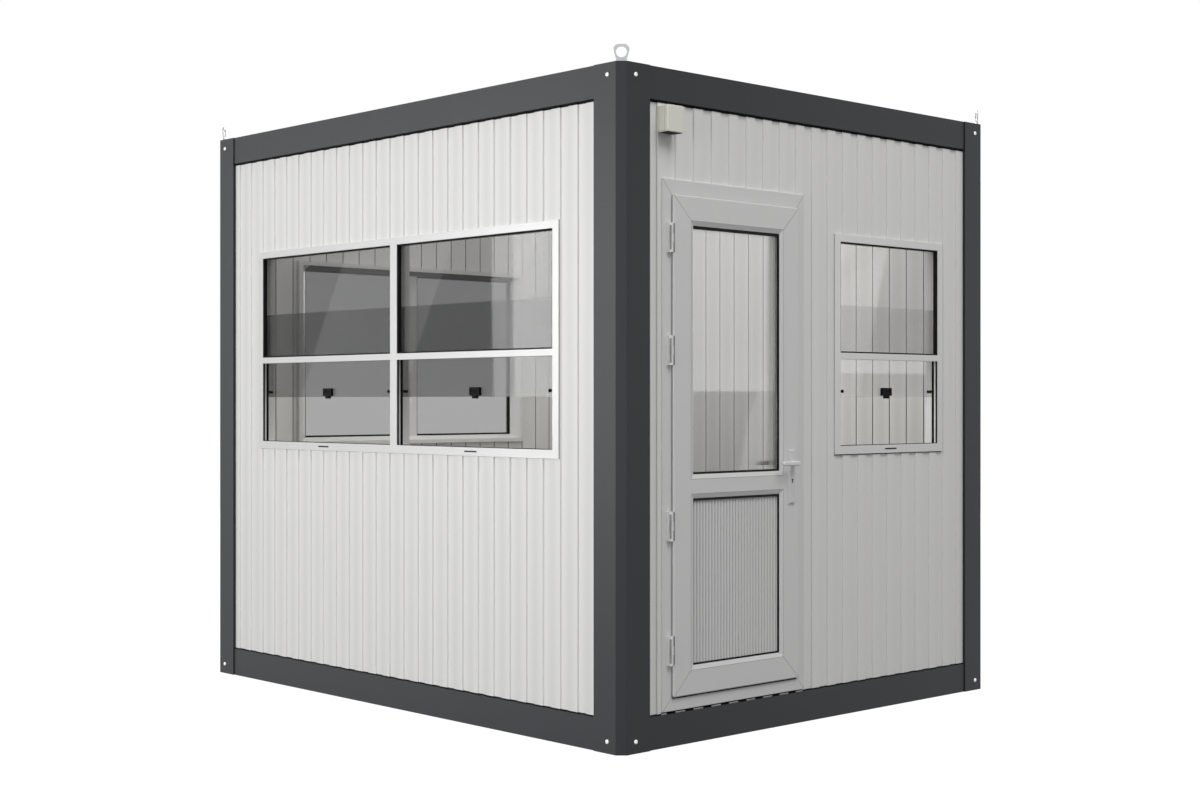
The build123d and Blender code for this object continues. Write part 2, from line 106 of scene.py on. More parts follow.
floor_paint = bpy.data.materials.new("studio_floor_paint")
floor_paint.use_nodes = True
tree = floor_paint.node_tree
tree.nodes.remove(tree.nodes["Principled BSDF"])
matt = tree.nodes.new("ShaderNodeBsdfDiffuse")
matt.inputs["Color"].default_value = floor_grey
pale = tree.nodes.new("ShaderNodeBsdfDiffuse")
pale.inputs["Color"].default_value = floor_pale
glow = tree.nodes.new("ShaderNodeEmission")
glow.inputs["Strength"].default_value = floor_glow / (1 - floor_shade_share)
seen = tree.nodes.new("ShaderNodeMixShader")
seen.inputs["Fac"].default_value = floor_shade_share
tree.links.new(glow.outputs[0], seen.inputs[1])
tree.links.new(pale.outputs[0], seen.inputs[2])
choice = tree.nodes.new("ShaderNodeMixShader")
tree.links.new(looks_straight(tree), choice.inputs["Fac"])
tree.links.new(matt.outputs[0], choice.inputs[1])
tree.links.new(seen.outputs[0], choice.inputs[2])
tree.links.new(choice.outputs[0], tree.nodes["Material Output"].inputs["Surface"])

shape = bmesh.new()
bmesh.ops.create_circle(shape, cap_ends=True, segments=floor_sides, radius=floor_radius)
floor_mesh = bpy.data.meshes.new("studio_floor")
shape.to_mesh(floor_mesh)
shape.free()
floor_mesh.materials.append(floor_paint)
studio_floor = bpy.data.objects.new("studio_floor", floor_mesh)
studio_floor.location.z = floor_level
scene.collection.objects.link(studio_floor)


def soft_lamp(name, place, aim, width, height, watts):
    """A rectangular lamp that is itself out of sight, turned from its place to an aim."""
    lamp = bpy.data.lights.new(name, "AREA")
    lamp.shape = "RECTANGLE"
    lamp.size = width
    lamp.size_y = height
    lamp.energy = watts
    stand = bpy.data.objects.new(name, lamp)
    scene.collection.objects.link(stand)
    stand.location = place
    stand.rotation_euler = (Vector(aim) - Vector(place)).to_track_quat("-Z", "Y").to_euler()
    stand.visible_camera = False
    return stand


def mirror_card(name, corners, strength):
    """A flat card that shows in glossy things, added to what lies behind it, and lights nothing else."""
    glowing = bpy.data.materials.new(name)
    glowing.use_nodes = True
    tree = glowing.node_tree
    tree.nodes.remove(tree.nodes["Principled BSDF"])
    clear = tree.nodes.new("ShaderNodeBsdfTransparent")
    glow = tree.nodes.new("ShaderNodeEmission")
    glow.inputs["Strength"].default_value = strength
    both = tree.nodes.new("ShaderNodeAddShader")
    tree.links.new(clear.outputs[0], both.inputs[0])
    tree.links.new(glow.outputs[0], both.inputs[1])
    tree.links.new(both.outputs[0], tree.nodes["Material Output"].inputs["Surface"])
    mesh = bpy.data.meshes.new(name)
    mesh.from_pydata(corners, [], [range(len(corners))])
    mesh.materials.append(glowing)
    card = bpy.data.objects.new(name, mesh)
    scene.collection.objects.link(card)
    card.visible_camera = False
    card.visible_diffuse = False


# Place, aim, width, height and watts of each outer lamp
outer_lamps = {
    "window_wall_lamp": ((-11.0, 0.0, 2.4), (0.0, 0.0, 2.4), 10.0, 4.4, 620),
    "far_corner_lamp": ((8.5, 9.5, 4.5), (0.0, 0.0, 1.3), 8.0, 5.0, 700),
    "door_wall_lamp": ((-1.0, -9.0, 12.0), (0.0, -1.4, 1.3), 6.0, 6.0, 755),
}
for name, setting in outer_lamps.items():
    soft_lamp(name, *setting)

# Strength and (along, level) outline of each card off the door wall, then of those off the window wall
door_wall_card_y = -10.9
door_wall_cards = {
    "door_upper_card": (2.6, [(8.3, 1.414), (11.2, 1.424), (11.2, 4.1), (8.3, 4.1)]),
    "door_side_card": (1.2, [(9.82, 0.2), (11.2, 0.2), (11.2, 2.9), (10.7, 2.9), (10.32, 1.68),
                             (10.05, 1.13)]),
    "small_window_side_card": (0.8, [(11.2, 0.2), (11.86, 0.2), (12.99, 4.1), (11.2, 4.1)]),
    "small_window_upper_card": (0.2, [(11.2, 2.5), (14.6, 2.53), (14.6, 4.1), (11.2, 4.1)]),
    "small_window_corner_card": (1.4, [(11.2, 2.5), (12.52, 2.51), (12.99, 4.1), (11.2, 4.1)]),
    "small_window_low_card": (1.9, [(11.2, 1.655), (14.6, 1.665), (14.6, 1.88), (11.2, 1.88)]),
}
for name, (strength, outline) in door_wall_cards.items():
    mirror_card(name, [(along, door_wall_card_y, level) for along, level in outline], strength)
window_wall_card_x = -10.2
window_wall_cards = {
    "window_wall_card": (5.0, [(5.6, 0.3), (10.34, 0.3), (10.34, 4.9), (5.6, 4.9)]),
    "window_wall_near_card": (6.4, [(5.6, 0.3), (9.95, 0.3), (9.95, 4.9), (5.6, 4.9)]),
    "window_wall_far_card": (1.0, [(12.2, 1.3), (14.5, 1.3), (13.1, 3.7), (10.85, 3.7)]),
}
for name, (strength, outline) in window_wall_cards.items():
    mirror_card(name, [(window_wall_card_x, along, level) for along, level in outline], strength)
corner_card_ends = [(-7.9, -10.8), (-10.1, -8.6)]
corner_card_foot = 0.3
corner_card_head = 4.2
corner_card_strength = 4.0
corner_card = [(*end, corner_card_foot) for end in corner_card_ends]
corner_card += [(*end, corner_card_head) for end in reversed(corner_card_ends)]
mirror_card("corner_card", corner_card, corner_card_strength)

# Place, width, depth and watts of each lamp in the room
room_lamps = {
    "ceiling_lamp": ((0.0, 0.0, 2.42), 2.0, 2.45, 21),
    "ceiling_strip": ((0.0, 1.20, 2.42), 2.0, 0.2, 2.2),
}
room_lamp_white = (1.0, 0.985, 0.96)
for name, (place, *setting) in room_lamps.items():
    room_lamp = soft_lamp(name, place, (place[0], place[1], 0), *setting)
    room_lamp.data.color = room_lamp_white
    room_lamp.visible_glossy = False


# Steel frame
# Corner posts folded from thick sheet with a chamfered corner, and rails bolted between them top and
# bottom, all in satin slate-grey stoving paint with a faint orange peel.
cloud_detail = 4
grain_detail = 2
grain_strength = 0.6


def coat(name, colour, roughness, drift=0.03, drift_size=0.5, grain_size=0.003, grain_height=0.0,
         roughness_drift=0.04, **sockets):
    """A coated surface whose colour and gloss drift a little over its area, with a fine grain.

    Further values go to the shader's own sockets, named in small letters, such as specular_ior_level.
    """
    material = bpy.data.materials.new(name)
    material.use_nodes = True
    tree = material.node_tree
    shader = tree.nodes["Principled BSDF"]
    for socket, value in sockets.items():
        shader.inputs[socket.replace("_", " ").title().replace("Ior", "IOR")].default_value = value
    place = tree.nodes.new("ShaderNodeTexCoord")
    clouds = tree.nodes.new("ShaderNodeTexNoise")
    clouds.inputs["Scale"].default_value = 1 / drift_size
    clouds.inputs["Detail"].default_value = cloud_detail
    tree.links.new(place.outputs["Object"], clouds.inputs["Vector"])
    tint = tree.nodes.new("ShaderNodeMix")
    tint.data_type = "RGBA"
    tint.inputs["A"].default_value = (*[c * (1 - drift) for c in colour], 1)
    tint.inputs["B"].default_value = (*[min(1, c * (1 + drift)) for c in colour], 1)
    tree.links.new(clouds.outputs["Fac"], tint.inputs["Factor"])
    tree.links.new(tint.outputs["Result"], shader.inputs["Base Color"])
    gloss = tree.nodes.new("ShaderNodeMapRange")
    gloss.inputs["To Min"].default_value = roughness - roughness_drift
    gloss.inputs["To Max"].default_value = roughness + roughness_drift
    tree.links.new(clouds.outputs["Fac"], gloss.inputs["Value"])
    tree.links.new(gloss.outputs["Result"], shader.inputs["Roughness"])
    if grain_height:
        grain = tree.nodes.new("ShaderNodeTexNoise")
        grain.inputs["Scale"].default_value = 1 / grain_size
        grain.inputs["Detail"].default_value = grain_detail
        tree.links.new(place.outputs["Object"], grain.inputs["Vector"])
        relief = tree.nodes.new("ShaderNodeBump")
        relief.inputs["Distance"].default_value = grain_height
        relief.inputs["Strength"].default_value = grain_strength
        tree.links.new(grain.outputs["Fac"], relief.inputs["Height"])
        tree.links.new(relief.outputs["Normal"], shader.inputs["Normal"])
    return material


def finish_nodes(material, *names):
    """Gives solids one finish all over."""
    for name in names:
        nodes[name].data.materials.clear()
        nodes[name].data.materials.append(material)


arris_angle = math.radians(35)
arris_steps = 2
weld_reach = 0.00002


def ease_edges(width, *names):
    """Rolls the sharp arrises of a solid over by a hair, as paint and dies leave them."""
    for name in names:
        weld = nodes[name].modifiers.new("weld", "WELD")
        weld.merge_threshold = weld_reach
        bevel = nodes[name].modifiers.new("arris", "BEVEL")
        bevel.width = width
        bevel.segments = arris_steps
        bevel.limit_method = "ANGLE"
        bevel.angle_limit = arris_angle
        shading = nodes[name].modifiers.new("flat_faces", "WEIGHTED_NORMAL")
        shading.keep_sharp = False
        shading.weight = 100


slate_paint = coat("slate_stoving_paint", (0.022, 0.024, 0.028), 0.42, drift=0.05,
                   grain_size=0.004, grain_height=0.0004, specular_ior_level=0.23)
finish_nodes(slate_paint, "corner_posts", "top_rails", "bottom_rails")
ease_edges(0.0012, "top_rails", "bottom_rails")


# Frame bolts
# Zinc-plated button-head screws that hold the rails in the posts, two on each post face, near the
# top and the bottom, each seated flat on the paint.
zinc_plate = coat("bright_zinc_plate", (0.86, 0.87, 0.88), 0.30, drift=0.05, drift_size=0.004,
                  metallic=0.55)
bolt_from_corner = 0.075
bolt_from_end = 0.045
bolt_head = [(0.0088, 0.0), (0.0088, -0.0012), (0.0078, -0.0032), (0.0058, -0.0046),
             (0.0034, -0.0052), (0.0030, -0.0050), (0.0030, -0.0026), (0.0004, -0.0026)]

post_low, post_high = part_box("corner_posts")
wall_places = {
    "front": Matrix.Translation((post_low.x, post_low.y, 0)),
    "right": Matrix.Translation((post_high.x, post_low.y, 0)) @ Matrix.Rotation(math.radians(90), 4, "Z"),
    "back": Matrix.Translation((post_high.x, post_high.y, 0)) @ Matrix.Rotation(math.pi, 4, "Z"),
    "left": Matrix.Translation((post_low.x, post_high.y, 0)) @ Matrix.Rotation(math.radians(-90), 4, "Z"),
}
wall_lengths = {
    "front": post_high.x - post_low.x,
    "right": post_high.y - post_low.y,
    "back": post_high.x - post_low.x,
    "left": post_high.y - post_low.y,
}


def join_rings(shape, near, far):
    """Faces all round between two rings of points, one for one."""
    for step in range(len(near)):
        after = (step + 1) % len(near)
        shape.faces.new((near[step], near[after], far[after], far[step]))


def turned(shape, rings, at, segments=24):
    """A turned head on a wall: rings of (radius, depth) from its seat outwards, closed at both ends."""
    middle = Vector(at)
    circles = []
    for radius, depth in rings:
        circles.append([
            shape.verts.new(middle + Vector((radius * math.cos(turn), depth, radius * math.sin(turn))))
            for turn in (2 * math.pi * step / segments for step in range(segments))
        ])
    for inner, outer in zip(circles, circles[1:]):
        join_rings(shape, inner, outer)
    shape.faces.new(circles[0])
    shape.faces.new(circles[-1])


def add_piece(name, shape, place, material, body):
    """Closes a drawn shape into a piece that rides on a body."""
    shape.transform(place)
    bmesh.ops.recalc_face_normals(shape, faces=shape.faces)
    mesh = bpy.data.meshes.new(name)
    shape.to_mesh(mesh)
    shape.free()
    mesh.materials.append(material)
    mesh.polygons.foreach_set("use_smooth", [True] * len(mesh.polygons))
    mesh.set_sharp_from_angle(angle=arris_angle)
    thing = bpy.data.objects.new(name, mesh)
    scene.collection.objects.link(thing)
    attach(thing, body)


for wall, place in wall_places.items():
    shape = bmesh.new()
    for along in (bolt_from_corner, wall_lengths[wall] - bolt_from_corner):
        for height in (bolt_from_end, post_high.z - bolt_from_end):
            turned(shape, bolt_head, (along, 0, height))
    add_piece(f"{wall}_frame_bolts", shape, place, zinc_plate, "cabin")


# Lifting eyes
# Plates cut from galvanised strip with a round hole for a shackle, welded upright on the post tops
# across the corners; the zinc has a dull spangle.
galvanised = coat("dull_galvanised_steel", (0.36, 0.37, 0.38), 0.46, drift=0.12, drift_size=0.012,
                  grain_size=0.002, grain_height=0.0003, metallic=0.75)
finish_nodes(galvanised, "lifting_eyes")
ease_edges(0.0006, "lifting_eyes")


# Floor and roof
# The floor is a boarded chassis under grey sheet vinyl with a fine fleck; the roof slab is a coated
# sheet laid just below the rails, and its underside is the white ceiling.
vinyl = coat("flecked_sheet_vinyl", (0.34, 0.33, 0.31), 0.45, drift=0.16, drift_size=0.006,
             grain_size=0.002, grain_height=0.0002)
finish_nodes(vinyl, "floor")
roof_coat = coat("roof_sheet_coating", (0.72, 0.72, 0.71), 0.50, drift=0.04, drift_size=0.8,
                 grain_size=0.005, grain_height=0.0004)
finish_nodes(roof_coat, "roof")


# Wall panels
# Sandwich panels of thin steel sheet over foam, roll-formed with upright ribs and coated in a warm white
# satin, with painted shade halfway between the rib lines and in them; black foam closes the ribs' ends,
# and black strips in the fine joints of the inner skin are painted shade.
# Black foam for the ribs' end closures, also used for black strips that are painted shade in the inner
# joints and under the door
black_foam_and_shade = coat("black_closure_foam_and_shade", (0.008, 0.008, 0.008), 0.85, drift=0.2, drift_size=0.01,
                  specular_ior_level=0.1)
post_face = 0.150
rib_pitch = 0.100
rib_crest = 0.050
rib_flank = 0.003
rib_depth = 0.006
crest_depth = 0.014
rib_starts = {"front": 0.053, "right": 0.0845, "back": 0.095, "left": 0.0845}
least_stretch = 0.0005
foam_cover = 0.0012
foam_sunk = 0.0004
foam_top = (2.4415, 2.4500)
foam_foot = (0.1250, 0.1300)
sill_foam = (1.0862, 1.0899)
line_reach = 0.0021
# Where each wall's painted rib shade is centred, and its shares of painted shade halfway between lines and
# in them
rib_shade_lines = {"front": (0, 0.0515), "right": (1, -0.0255), "back": (0, 0.045), "left": (1, 0.0335)}
rib_shade_shares = {"front": (0.02, 0.21), "right": (0.10, 0.0), "back": (0.02, 0.21), "left": (0.10, 0.0)}


def paint_band_shade(material, axis, line, pitch, hollow_shade_share, line_shade_share=0.0):
    """Paints shade into a coating: darker by a share halfway between lines on an axis, by another in them.
    """
    tree = material.node_tree
    shader = tree.nodes["Principled BSDF"]
    place = tree.nodes.new("ShaderNodeTexCoord")
    split = tree.nodes.new("ShaderNodeSeparateXYZ")
    tree.links.new(place.outputs["Object"], split.inputs[0])
    value = split.outputs[axis]
    for step, amount in (("SUBTRACT", line), ("MULTIPLY", 2 * math.pi / pitch), ("COSINE", 0)):
        sum_node = tree.nodes.new("ShaderNodeMath")
        sum_node.operation = step
        sum_node.inputs[1].default_value = amount
        tree.links.new(value, sum_node.inputs[0])
        value = sum_node.outputs[0]
    hollow_shade = tree.nodes.new("ShaderNodeMapRange")
    hollow_shade.inputs["From Min"].default_value = -1
    hollow_shade.inputs["To Min"].default_value = 1 - hollow_shade_share
    tree.links.new(value, hollow_shade.inputs["Value"])
    line_shade = tree.nodes.new("ShaderNodeMapRange")
    line_shade.inputs["From Min"].default_value = math.cos(2 * math.pi * line_reach / pitch)
    line_shade.inputs["To Min"].default_value = 1
    line_shade.inputs["To Max"].default_value = 1 - line_shade_share
    tree.links.new(value, line_shade.inputs["Value"])
    both = tree.nodes.new("ShaderNodeMath")
    both.operation = "MULTIPLY"
    tree.links.new(hollow_shade.outputs["Result"], both.inputs[0])
    tree.links.new(line_shade.outputs["Result"], both.inputs[1])
    shaded_colour = tree.nodes.new("ShaderNodeVectorMath")
    shaded_colour.operation = "SCALE"
    tree.links.new(shader.inputs["Base Color"].links[0].from_socket, shaded_colour.inputs[0])
    tree.links.new(both.outputs[0], shaded_colour.inputs["Scale"])
    tree.links.new(shaded_colour.outputs[0], shader.inputs["Base Color"])


wall_panels = {wall: [name for name in nodes if name.startswith(f"{wall}_panel")] for wall in wall_places}
# Each wall's coating takes painted shade halfway between its rib lines and in them
for wall, names in wall_panels.items():
    sheet = coat(f"{wall}_sheet_coating", (0.81, 0.806, 0.791), 0.42, drift=0.015, drift_size=0.7,
                 grain_size=0.004, grain_height=0.0002, specular_ior_level=0.4)
    paint_band_shade(sheet, *rib_shade_lines[wall], rib_pitch, *rib_shade_shares[wall])
    finish_nodes(sheet, *names)


def on_wall(wall, name):
    """Lowest and highest corner of a node as (along, depth, height) on its wall."""
    back = wall_places[wall].inverted()
    corners = [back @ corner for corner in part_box(name)]
    return (Vector(map(min, *corners)), Vector(map(max, *corners)))


def rib_outline(wall, first, last):
    """Places and depths where the outer skin of a wall bends between two ends."""
    start = post_face + rib_starts[wall]

    def depth(place):
        turn = (place - start) % rib_pitch
        past = min(max(turn - rib_crest, 0), max(rib_pitch - turn, 0)) if turn > rib_crest else 0
        return crest_depth + rib_depth * min(1, past / rib_flank)

    stops = [first]
    crest = start + math.floor((first - start) / rib_pitch) * rib_pitch
    while crest - rib_flank < last:
        for stop in (crest - rib_flank, crest, crest + rib_crest, crest + rib_crest + rib_flank):
            if stops[-1] + least_stretch < stop < last - least_stretch:
                stops.append(stop)
        crest += rib_pitch
    stops.append(last)
    return [(stop, depth(stop)) for stop in stops]


def closure_strip(shape, wall, first, last, foot, head):
    """A thin strip of foam that follows the ribs along a wall, between two levels."""
    face = rib_outline(wall, first, last)
    rows = []
    for level in (foot, head):
        for sunk in (-foam_cover, foam_sunk):
            rows.append([shape.verts.new((along, depth + sunk, level)) for along, depth in face])
    low_out, low_in, high_out, high_in = rows
    for a, b in ((low_out, high_out), (high_out, high_in), (high_in, low_in), (low_in, low_out)):
        for step in range(len(face) - 1):
            shape.faces.new((a[step], a[step + 1], b[step + 1], b[step]))
    for end in (0, -1):
        shape.faces.new((low_out[end], high_out[end], high_in[end], low_in[end]))


for wall, place in wall_places.items():
    shape = bmesh.new()
    wall_end = wall_lengths[wall] - post_face
    closure_strip(shape, wall, post_face, wall_end, *foam_top)
    if wall == "front":
        door_start, door_end = [corner.x for corner in on_wall(wall, "door_frame")]
        closure_strip(shape, wall, post_face, door_start, *foam_foot)
        closure_strip(shape, wall, door_end, wall_end, *foam_foot)
        sill_start, sill_end = [corner.x for corner in on_wall(wall, "front_window_frame")]
        closure_strip(shape, wall, sill_start, sill_end, *sill_foam)
    else:
        closure_strip(shape, wall, post_face, wall_end, *foam_foot)
    add_piece(f"{wall}_closure_foam", shape, place, black_foam_and_shade, "cabin")

# Black strips laid in the grooves of each wall's inner skin are painted shade in the grooves
groove_share = 0.6
groove_margin = 0.006
joint_shade_depths = (0.0629, 0.0632)
joint_shade_reach = 0.0021


def solid_between(shape, near, far):
    """Closes two rings of places, one for one, into a solid with flat ends."""
    rings = [[shape.verts.new(place) for place in ring] for ring in (near, far)]
    join_rings(shape, *rings)
    for ring in rings:
        shape.faces.new(ring)


def flat_bar(shape, low, high):
    """A bar with square edges between two corners."""
    section = ((low[0], low[1]), (high[0], low[1]), (high[0], high[1]), (low[0], high[1]))
    solid_between(shape, *[[(*corner, level) for corner in section] for level in (low[2], high[2])])


for wall, names in wall_panels.items():
    shape = bmesh.new()
    start = post_face + rib_starts[wall]
    for name in names:
        low, high = on_wall(wall, name)
        joint = start + rib_pitch * (math.floor((low.x - start) / rib_pitch) + groove_share)
        while joint < high.x - groove_margin:
            if joint > low.x + groove_margin:
                flat_bar(shape, (joint - joint_shade_reach, joint_shade_depths[0], low.z),
                         (joint + joint_shade_reach, joint_shade_depths[1], high.z))
            joint += rib_pitch
    add_piece(f"{wall}_inner_joint_shade", shape, wall_places[wall], black_foam_and_shade, "cabin")


# Window frames
# White coated aluminium sections, mitred at the corners, with a transom across the lights that open;
# black rubber seals line the fixed lights, and brush seals the jambs that the sliding panes run in.
window_coat = coat("white_window_coating", (0.73, 0.73, 0.726), 0.24, drift=0.01, drift_size=0.4,
                   grain_size=0.003, grain_height=0.0001)
finish_nodes(window_coat, "left_window_frame", "front_window_frame", "back_window_frame")
ease_edges(0.0010, "left_window_frame", "front_window_frame", "back_window_frame")

# Black rubber for the seals, weep slots and keyhole, also used for black strips that are painted shade: at
# the back window's head, beside the hinges, under the door leaf and under the junction box
seal_rubber_and_shade = coat("black_seal_rubber_and_shade", (0.007, 0.007, 0.007), 0.65, drift=0.15, drift_size=0.02,
                   specular_ior_level=0.12)
joint_shade = coat("mitre_joint_shade", (0.33, 0.33, 0.33), 0.70, drift=0.08, drift_size=0.03)
windows = {"left": ("left_window_frame", 2), "front": ("front_window_frame", 1)}
jamb_face = 0.037
head_face = 0.031
sill_face = 0.035
mullion_face = 0.048
transom = (1.489, 1.516)
frame_face_depth = 0.009
pane_rebate = 0.014
brush_overlap = 0.004
fixed_seal = [(-0.0004, 0.0115), (0.0040, 0.0115), (0.0060, 0.0135), (0.0060, 0.0299), (-0.0004, 0.0299)]
jamb_seal = [(-0.0004, 0.0125), (0.0030, 0.0125), (0.0036, 0.0140), (0.0036, 0.0190), (-0.0004, 0.0200)]
jamb_brush = [(-0.0130, 0.0362), (0.0034, 0.0362), (0.0034, 0.0398), (-0.0130, 0.0398)]
sill_seal = [(-0.0004, 0.0120), (0.0026, 0.0130), (0.0026, 0.0290), (-0.0004, 0.0300)]
# Grey strips along the frames' outer sides, drawn as bedding, whose dark grey is painted shade of the
# frames' side faces
bedding_shade_reach = 0.0010
bedding_shade_tuck = 0.0002
bedding_shade_depths = (0.0115, 0.0198)
weep_length = 0.080
weep_height = 0.0058
weep_level = 1.1085
weep_proud = 0.0008
weep_sunk = 0.0020
weep_depths = (frame_face_depth - weep_proud, frame_face_depth + weep_sunk)


def lights_of(wall):
    """Start and end of each light of the window in a wall, between its jambs and mullions."""
    name, count = windows[wall]
    low, high = on_wall(wall, name)
    clear = high.x - low.x - 2 * jamb_face - (count - 1) * mullion_face
    width = clear / count
    starts = [low.x + jamb_face + index * (width + mullion_face) for index in range(count)]
    return [(start, start + width) for start in starts], low.z, high.z


def seal_ring(shape, first, last, foot, head, section):
    """A seal mitred round a rectangle; its section is (reach into the opening, depth)."""
    corners = ((first, foot, 1, 1), (last, foot, -1, 1), (last, head, -1, -1), (first, head, 1, -1))
    rings = [
        [shape.verts.new((along + side * reach, depth, level + rise * reach)) for reach, depth in section]
        for along, level, side, rise in corners
    ]
    for here, there in zip(rings, rings[1:] + rings[:1]):
        join_rings(shape, here, there)


def straight_seal(shape, section, start, end, upright=True, side=1, edge=0.0):
    """A straight run of a seal along a jamb, or along a sill where it isn't upright."""
    points = [(edge + side * reach, depth) for reach, depth in section]
    if upright:
        ends = [[(across, depth, run) for across, depth in points] for run in (start, end)]
    else:
        ends = [[(run, depth, across) for across, depth in points] for run in (start, end)]
    solid_between(shape, *ends)


def plate(shape, outline, depths):
    """A flat piece with an outline of (along, height), between two depths."""
    solid_between(shape, *[[(along, depth, level) for along, level in outline] for depth in depths])


def lozenge(shape, middle, width, height, depths, corner_steps=6):
    """A flat piece with half-round ends, between two depths."""
    radius = height / 2
    outline = []
    for side in (1, -1):
        for step in range(corner_steps + 1):
            turn = math.pi * (step / corner_steps - 0.5) + (0 if side == 1 else math.pi)
            outline.append((middle[0] + side * (width / 2 - radius) + radius * math.cos(turn),
                            middle[1] + radius * math.sin(turn)))
    plate(shape, outline, depths)


for wall in windows:
    lights, sill, head = lights_of(wall)
    seals = bmesh.new()
    weeps = bmesh.new()
    bedding_shade = bmesh.new()
    for first, last in lights:
        seal_ring(seals, first, last, transom[1], head - head_face, fixed_seal)
        for edge, side in ((first, 1), (last, -1)):
            straight_seal(seals, jamb_seal, sill + sill_face, transom[0], side=side, edge=edge)
            straight_seal(seals, jamb_brush, sill + sill_face - pane_rebate, transom[0] + brush_overlap,
                          side=side, edge=edge)
        straight_seal(seals, sill_seal, first, last, upright=False, edge=sill + sill_face)
        lozenge(weeps, ((first + last) / 2, weep_level), weep_length, weep_height, weep_depths)
    # Bedding strips at each frame's outer sides: their grey is painted shade of the frames' side faces
    low, high = on_wall(wall, windows[wall][0])
    for edge, side in ((low.x, -1), (high.x, 1)):
        first, last = sorted((edge - side * bedding_shade_tuck, edge + side * bedding_shade_reach))
        flat_bar(bedding_shade, (first, bedding_shade_depths[0], sill), (last, bedding_shade_depths[1], head))
    add_piece(f"{wall}_window_bedding_shade", bedding_shade, wall_places[wall], joint_shade, "cabin")
    add_piece(f"{wall}_window_seals", seals, wall_places[wall], seal_rubber_and_shade, "cabin")
    add_piece(f"{wall}_window_weep_slots", weeps, wall_places[wall], seal_rubber_and_shade, "cabin")

fixed_jamb = 0.062
fixed_head = 0.040
fixed_mullion = 0.054
outer_gasket = [(-0.0004, 0.0230), (0.0045, 0.0230), (0.0060, 0.0250), (0.0060, 0.0299), (-0.0004, 0.0299)]
room_gasket = [(-0.0004, 0.0361), (0.0085, 0.0361), (0.0085, 0.0400), (0.0060, 0.0425), (-0.0004, 0.0425)]
# The head strip is black rubber laid on the head's downward bevel on the room side: painted shade under the
# head
head_shade_seal = [(0.0002, 0.0490), (0.0193, 0.0882), (0.0181, 0.0882), (-0.0010, 0.0490)]
low, high = on_wall("back", "back_window_frame")
light = (high.x - low.x - 2 * fixed_jamb - fixed_mullion) / 2
shape = bmesh.new()
for first in (low.x + fixed_jamb, high.x - fixed_jamb - light):
    for section in (outer_gasket, room_gasket):
        seal_ring(shape, first, first + light, low.z + fixed_head, high.z - fixed_head, section)
straight_seal(shape, head_shade_seal, low.x + fixed_jamb, high.x - fixed_jamb, upright=False,
              edge=high.z - fixed_head)
add_piece("back_window_seals", shape, wall_places["back"], seal_rubber_and_shade, "cabin")


# Panes
# Grey-tinted float glass, more mirroring in the door wall: fixed panes bedded behind the upper lip, and
# sliding panes behind them, raised, with turned black catches near both edges and moulded finger pulls.
glass_body = (0.020, 0.022, 0.022, 1)
glass_roughness = 0.02


def glass(name, gloss_index, tint):
    """Glass that holds back a share of the light and mirrors as strongly as a given refractive index."""
    material = bpy.data.materials.new(name)
    material.use_nodes = True
    shader = material.node_tree.nodes["Principled BSDF"]
    shader.inputs["Base Color"].default_value = glass_body
    shader.inputs["Roughness"].default_value = glass_roughness
    shader.inputs["IOR"].default_value = gloss_index
    shader.inputs["Alpha"].default_value = tint
    return material


finish_nodes(glass("grey_tinted_glass", 1.5, 0.42), "left_window_fixed_panes", "left_window_sliding_panes")
finish_nodes(glass("pale_grey_glass", 1.5, 0.39), "back_window_fixed_panes")
finish_nodes(glass("mirror_coated_glass", 3.0, 0.15),
             "front_window_fixed_pane", "front_window_sliding_pane")
finish_nodes(glass("grey_door_glass", 2.2, 0.28), "door_glass")

moulded_black = coat("moulded_black_plastic", (0.004, 0.004, 0.0043), 0.60, drift=0.1, drift_size=0.01,
                     grain_size=0.0012, grain_height=0.0001, specular_ior_level=0.06)
finish_nodes(moulded_black, "window_pulls")
catch_level = 1.354
catch_from_edge = 0.032
catch_head = [(0.0072, 0.0400), (0.0072, 0.0385), (0.0050, 0.0380), (0.0050, 0.0290),
              (0.0070, 0.0280), (0.0070, 0.0235), (0.0058, 0.0222), (0.0006, 0.0220)]
for wall in windows:
    shape = bmesh.new()
    for first, last in lights_of(wall)[0]:
        for along in (first + catch_from_edge, last - catch_from_edge):
            turned(shape, catch_head, (along, 0, catch_level), segments=20)
    add_piece(f"{wall}_pane_catches", shape, wall_places[wall], moulded_black, "cabin")


# Door frame and hinges
# White plastic profiles welded at mitred corners round the doorway, on a strip of black foam that is
# painted shade under their foot; knuckle hinges are screwed to the jamb and carry the door, with thin
# dark liners beside them that are painted shade, and packers whose grey is painted shade on lit sides.
door_plastic = coat("white_door_plastic", (0.72, 0.72, 0.716), 0.42, drift=0.01, drift_size=0.5,
                    grain_size=0.003, grain_height=0.0001, specular_ior_level=0.35)
hinge_coat = coat("white_hinge_coating", (0.84, 0.84, 0.84), 0.38, drift=0.02, drift_size=0.05)
finish_nodes(door_plastic, "door_frame", "door_sash")
finish_nodes(hinge_coat, "hinge_frame_halves", "hinge_leaf_halves")
ease_edges(0.0016, "door_frame")
joint_width = 0.0016
joint_proud = 0.00025
joint_sunk = 0.0004


def mitre_joint(shape, start, end, depth):
    """A weld line across a mitre, from (along, height) to (along, height) on a face at a depth."""
    a, b = Vector(start), Vector(end)
    across = (b - a).normalized().orthogonal() * joint_width / 2
    outline = [a - across, a + across, b + across, b - across]
    plate(shape, outline, (depth - joint_proud, depth + joint_sunk))


